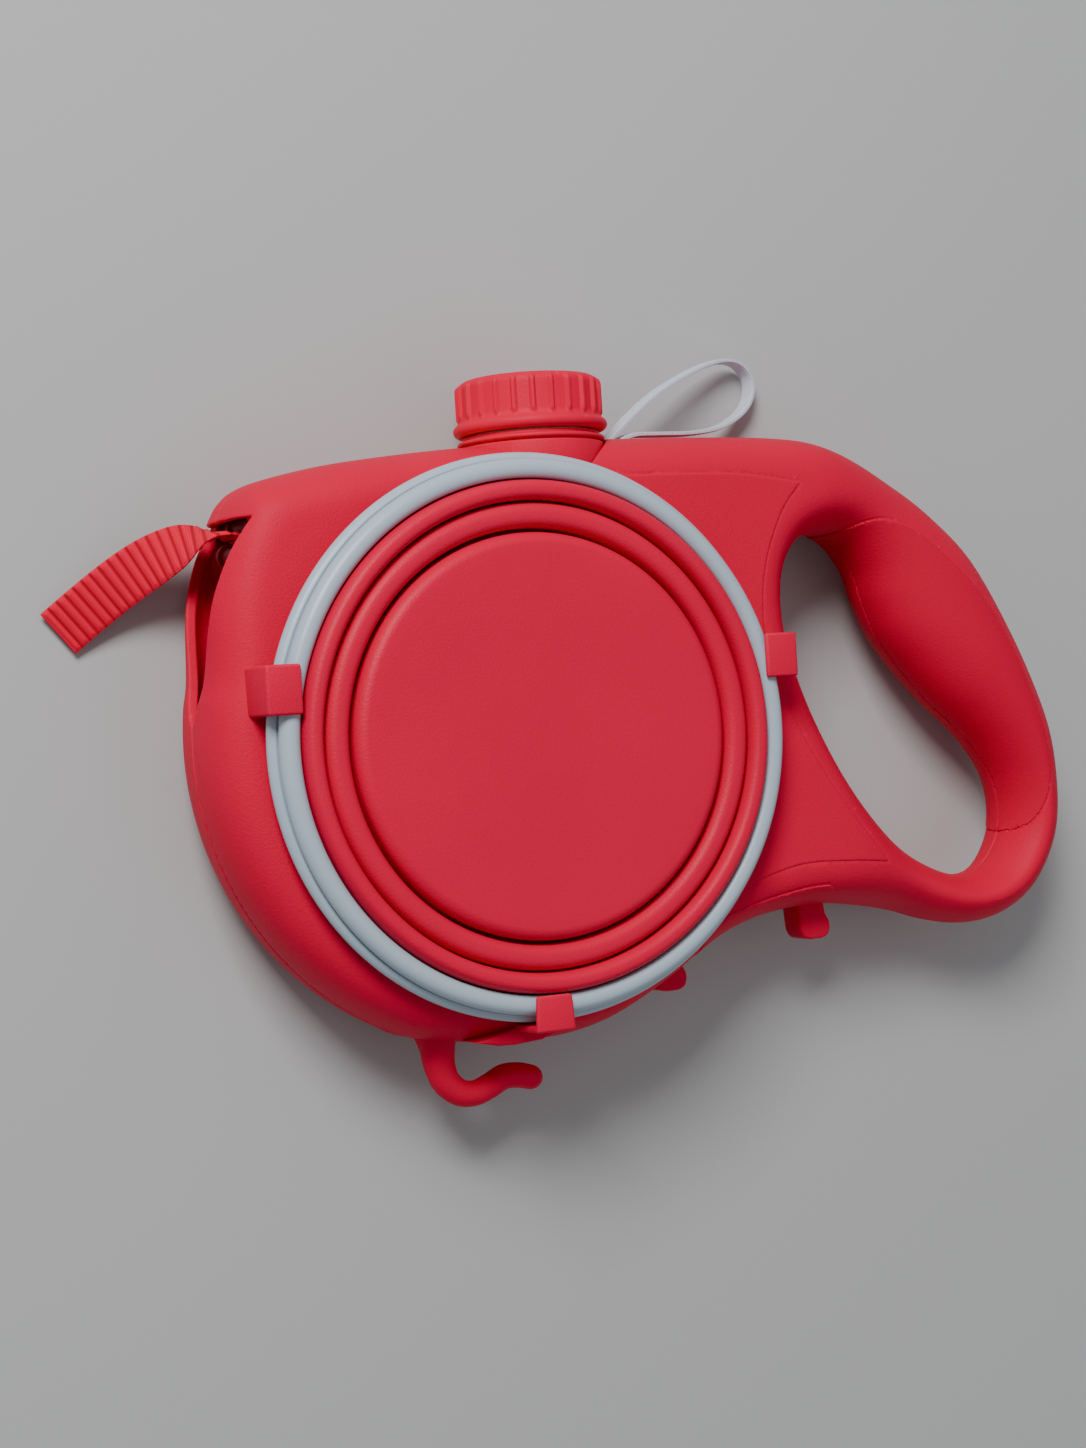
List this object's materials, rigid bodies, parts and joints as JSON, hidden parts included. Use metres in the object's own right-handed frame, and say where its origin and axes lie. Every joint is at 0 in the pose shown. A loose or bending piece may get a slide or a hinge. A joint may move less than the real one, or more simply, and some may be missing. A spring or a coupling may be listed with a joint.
{
  "type": "retractable leash",
  "caption": "Retractable tape leash with an open hand grip, a screw-cap water bottle inside the casing and a collapsible bowl held on its face by clips.",
  "frame": {"origin": "on the bowl's and the round casing's axis, in the plane of the flat back that the leash lies on", "axes": "+Z out of the bowl's face, +X towards the hand grip, +Y towards the bottle cap"},
  "size_m": [0.2602, 0.1779, 0.046],
  "materials": {
    "red_shell": "moulded matte plastic with a fine leather grain",
    "red_grip": "soft-touch overmould, matte",
    "red_silicone": "satin silicone",
    "red_cap": "moulded plastic, satin",
    "grey_rim": "satin blue-grey silicone over a stiff ring",
    "grey_ribbon": "flat woven ribbon",
    "red_webbing": "ribbed woven tape",
    "bottle_plastic": "translucent blow-moulded plastic, glossy",
    "seal_rubber": "smooth white seal",
    "spool_plastic": "moulded nylon",
    "liner_plastic": "moulded plastic",
    "screw_steel": "zinc plated",
    "spring_steel": "blued spring steel"
  },
  "bodies": {
    "casing": {"front_shell": "red_shell", "back_shell": "red_shell", "side_panel": "red_shell", "grip_pad_front": "red_grip", "grip_pad_back": "red_grip", "screws": "screw_steel", "clip_right": "red_shell", "clip_left": "red_shell", "clip_bottom": "red_shell", "bag_hook": "red_shell", "peg_outer": "red_shell", "peg_inner": "red_shell", "bottle": "bottle_plastic", "neck_collar": "red_shell", "spool_axle": "screw_steel", "axle_clip": "spring_steel", "tape_guide": "liner_plastic", "slot_liner": "liner_plastic", "lanyard_loop": "grey_ribbon"},
    "bowl_rim": {"bowl_rim": "grey_rim"},
    "fold_outer": {"bowl_fold_outer": "red_silicone"},
    "fold_inner": {"bowl_fold_inner": "red_silicone"},
    "bowl_base": {"bowl_base": "red_silicone"},
    "cap_seal": {"cap_seal": "seal_rubber"},
    "cap": {"cap": "red_cap"},
    "spool": {"spool_hub": "spool_plastic", "spool_flange": "spool_plastic", "power_spring": "spring_steel", "tape_coil": "red_webbing"},
    "tape": {"leash_tape": "red_webbing"},
    "brake": {"brake_trigger": "red_grip", "brake_pawl": "spool_plastic", "trigger_spring": "spring_steel"}
  },
  "joints": [
    {"name": "bowl_slide", "type": "slide", "parent": "casing", "child": "bowl_rim", "axis": [0, 1, 0], "range_m": [0, 0.14]},
    {"name": "bowl_open", "type": "slide", "parent": "bowl_rim", "child": "bowl_base", "axis": [0, 0, 1], "range_m": [0, 0.021]},
    {"name": "fold_outer_rise", "type": "slide", "parent": "bowl_rim", "child": "fold_outer", "axis": [0, 0, 1], "range_m": [0, 0.007]},
    {"name": "fold_inner_rise", "type": "slide", "parent": "bowl_rim", "child": "fold_inner", "axis": [0, 0, 1], "range_m": [0, 0.014]},
    {"name": "cap_lift", "type": "slide", "parent": "casing", "child": "cap_seal", "axis": [0, 1, 0], "range_m": [0, 0.008]},
    {"name": "cap_turn", "type": "hinge", "parent": "cap_seal", "child": "cap", "pos_m": [0.0136, 0.078, 0.0182], "axis": [0, 1, 0], "range_deg": [0, 360]},
    {"name": "tape_pull", "type": "slide", "parent": "casing", "child": "tape", "axis": [-0.9379, 0.3469, 0], "range_m": [0, 0.0314], "stiffness_N_per_m": 25, "springref_m": -0.03},
    {"name": "spool_spin", "type": "hinge", "parent": "casing", "child": "spool", "pos_m": [-0.008, -0.014, 0.0175], "axis": [0, 0, 1], "range_deg": [0, 46]},
    {"name": "brake_press", "type": "slide", "parent": "casing", "child": "brake", "axis": [-1, 0, 0], "range_m": [0, 0.004], "stiffness_N_per_m": 300}
  ],
  "couplings": [
    {"joint": "fold_outer_rise", "follows": "bowl_open", "ratio": 0.33333},
    {"joint": "fold_inner_rise", "follows": "bowl_open", "ratio": 0.66667},
    {"joint": "cap_turn", "follows": "cap_lift", "rad_per_m": 784.61},
    {"joint": "spool_spin", "follows": "tape_pull", "rad_per_m": 25}
  ]
}
